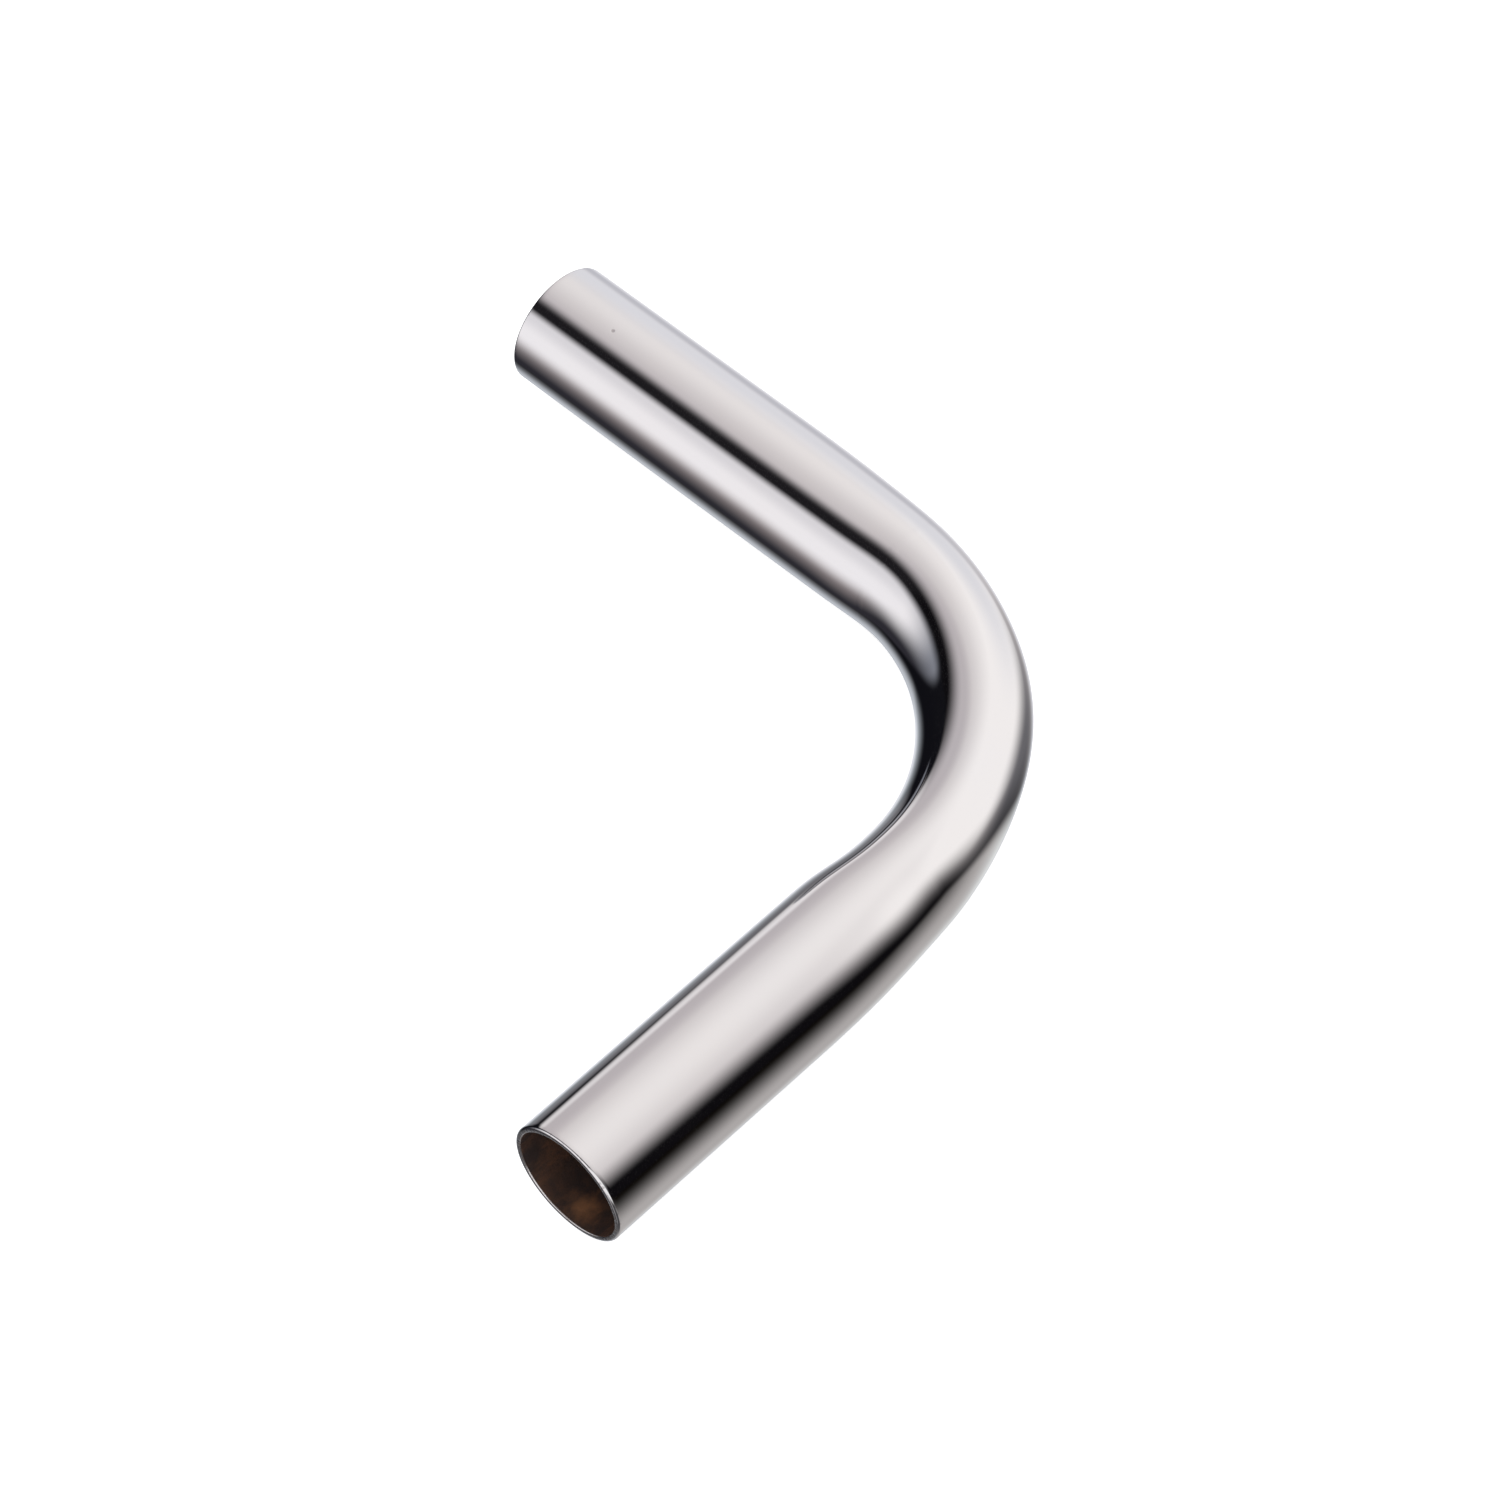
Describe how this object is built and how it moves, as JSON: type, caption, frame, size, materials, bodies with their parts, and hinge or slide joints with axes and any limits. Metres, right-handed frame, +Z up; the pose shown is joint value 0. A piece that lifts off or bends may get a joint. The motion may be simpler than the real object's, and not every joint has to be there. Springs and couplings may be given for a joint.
{
  "type": "bent waste tube",
  "caption": "Chrome-plated brass waste tube with one right-angle bend and plain open ends, which joins a basin trap to the waste pipe.",
  "frame": {"origin": "under the middle of the tube's bounding box, on the surface that the tube lies on", "axes": "+Z up, square to the plane of the bend; the trap leg's open end faces -X and the wall leg's open end faces -Y"},
  "size_m": [0.193, 0.193, 0.032],
  "materials": {
    "chrome_plate": "bright warm-toned plating on brass outside and on the sawn rims, with faint draw lines; bare browned brass inside"
  },
  "bodies": {
    "root": {"bent_tube": "chrome_plate"}
  },
  "joints": []
}
